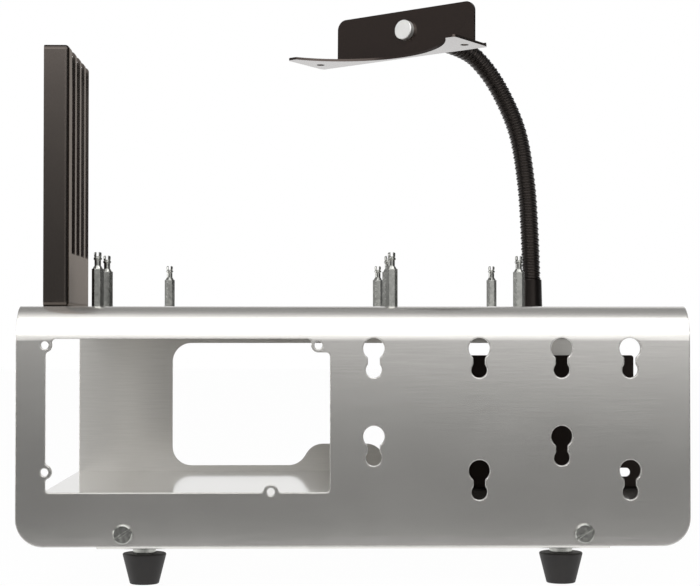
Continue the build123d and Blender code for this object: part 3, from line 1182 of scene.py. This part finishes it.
    def backdrop(self) -> None:
        """Makes the world: white where the camera looks, a lit room to metal."""
        world = bpy.data.worlds.new("studio")
        bpy.context.scene.world = world
        world.use_nodes = True
        tree = world.node_tree
        tree.nodes.clear()
        way = add_node(tree, "ShaderNodeTexCoord").outputs["Generated"]
        parts = add_node(tree, "ShaderNodeSeparateXYZ", {0: way}).outputs
        ahead = add_node(
            tree, "ShaderNodeMath", {0: parts["Y"], 1: -1.0}, operation="MULTIPLY"
        )
        over = add_node(
            tree,
            "ShaderNodeMath",
            {0: parts["Z"], 1: ahead.outputs[0]},
            operation="ARCTAN2",
        )
        tilted = add_node(
            tree,
            "ShaderNodeMath",
            {0: parts["X"], 1: self.room_tilt, 2: over.outputs[0]},
            operation="MULTIPLY_ADD",
        )
        low, high = self.room[0][0], self.room[-1][0]
        share = add_node(
            tree,
            "ShaderNodeMapRange",
            {
                "Value": tilted.outputs[0],
                "From Min": math.radians(low),
                "From Max": math.radians(high),
            },
        )
        bands = add_node(tree, "ShaderNodeValToRGB", {"Fac": share.outputs["Result"]})
        stops = bands.color_ramp.elements
        while len(stops) < len(self.room):
            stops.new(0.5)
        for stop, (degrees, level) in zip(stops, self.room):
            stop.position = (degrees - low) / (high - low)
            stop.color = (*[level / self.room_peak] * 3, 1.0)
        peak = add_node(
            tree,
            "ShaderNodeMath",
            {0: bands.outputs["Color"], 1: self.room_peak},
            operation="MULTIPLY",
        )
        sideways = add_node(
            tree, "ShaderNodeMath", {0: parts["X"]}, operation="ABSOLUTE"
        )
        side = add_node(
            tree,
            "ShaderNodeMapRange",
            {
                "Value": sideways.outputs[0],
                "From Min": self.side_start[0],
                "From Max": self.side_start[1],
            },
            interpolation_type="SMOOTHSTEP",
        )
        left, right = self.side_glow
        glow = add_node(
            tree,
            "ShaderNodeMapRange",
            {"Value": parts["X"], "From Min": -1.0, "To Min": left, "To Max": right},
        )
        level = add_node(
            tree,
            "ShaderNodeMix",
            {
                "Factor": side.outputs["Result"],
                "A": peak.outputs[0],
                "B": glow.outputs["Result"],
            },
        )
        around = add_node(
            tree, "ShaderNodeBackground", {"Strength": level.outputs["Result"]}
        )
        white = add_node(
            tree, "ShaderNodeBackground", {"Color": (1, 1, 1, 1), "Strength": 1.0}
        )
        both = add_node(
            tree,
            "ShaderNodeMixShader",
            {0: self.straight_ray(tree), 1: around.outputs[0], 2: white.outputs[0]},
        )
        add_node(tree, "ShaderNodeOutputWorld", {"Surface": both.outputs[0]})

    def build(self) -> None:
        """Sets the whole studio up."""
        bpy.context.scene.view_settings.view_transform = "Standard"
        self.camera()
        for softbox in self.softboxes:
            softbox.hang()
        self.floor()
        self.backdrop()


def clear_start() -> None:
    """Removes the objects that Blender starts with."""
    for thing in list(bpy.data.objects):
        bpy.data.objects.remove(thing)


def main() -> None:
    """Loads the frame, dresses every piece and sets up the studio."""
    logging.basicConfig(level=logging.INFO)
    clear_start()
    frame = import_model()
    shapes = frame["nodes"]
    swivel = frame["joints"][0]
    pivot, axis = Vector(swivel["pos_m"]), Vector(swivel["axis"]).normalized()

    aluminium = BrushedAluminium().build()
    mill = BrushedAluminium(
        name="mill_anodised_aluminium",
        roughness=0.09,
        cloud_roughness=0.1,
        haze_share=0.08,
        inner_haze_share=0.08,
        line_depth=0.001,
    ).build()
    coat = PowderCoat().build()
    flake_coat = FlakePowderCoat().build()
    # Black paint on the drive plate inside the body. Its colour and gloss are lowered
    # below the outer coat's as painted shade for the dim inside
    shade_darkened_coat = PowderCoat(
        name="shade_darkened_black_powder_coat", colour="#070606", roughness=0.55, ior=1.33
    ).build()
    blacked = BlackedSteel().build()
    zinc = ZincPlate().build()
    satin_zinc = ZincPlate(
        name="satin_zinc_plate", roughness=0.22, edge_radius=0.3
    ).build()
    turned = TurnedAluminium(tuple(pivot), tuple(axis)).build()
    rubber = MouldedRubber().build()

    ends = ("front_left", "front_right", "rear_left", "rear_right")
    assemblies = [
        SubAssembly(
            "body",
            {
                "body_shell": aluminium,
                "floor_tray": mill,
                "drive_plate": shade_darkened_coat,
                "drive_plate_screws": zinc,
                "drive_plate_nuts": zinc,
                "tray_screws": satin_zinc,
                "tray_nuts": zinc,
            },
        ),
        SubAssembly(
            "feet",
            {f"foot_{end}": rubber for end in ends}
            | {"foot_spacers": zinc, "foot_screws": zinc, "foot_nuts": zinc},
        ),
        SubAssembly(
            "board posts",
            {f"board_post_{number}": zinc for number in range(1, 9)}
            | {"post_nuts": zinc},
        ),
        SubAssembly(
            "card bracket",
            {"card_bracket": flake_coat, "bracket_screws": zinc, "bracket_nuts": zinc},
        ),
        SubAssembly(
            "fan holder",
            {
                "fan_plate": coat,
                "clamp_knob": turned,
                "arm_end_fitting": blacked,
                "arm_base_ferrule": blacked,
                "arm_base_washer": blacked,
                "arm_base_nut": zinc,
            },
        ),
    ]
    for assembly in assemblies:
        assembly.dress(shapes)

    ferrule_low, ferrule_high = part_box("arm_base_ferrule")
    deck_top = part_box("body_shell")[1].z
    middle = (Vector(ferrule_low) + Vector(ferrule_high)) / 2
    arm = FlexibleArm(Vector((middle.x, middle.y, deck_top)), pivot, axis, blacked)
    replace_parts(arm.build(), arm.replaces)

    Studio(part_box("body_shell")[0].y).build()


if __name__ == "__main__":
    main()
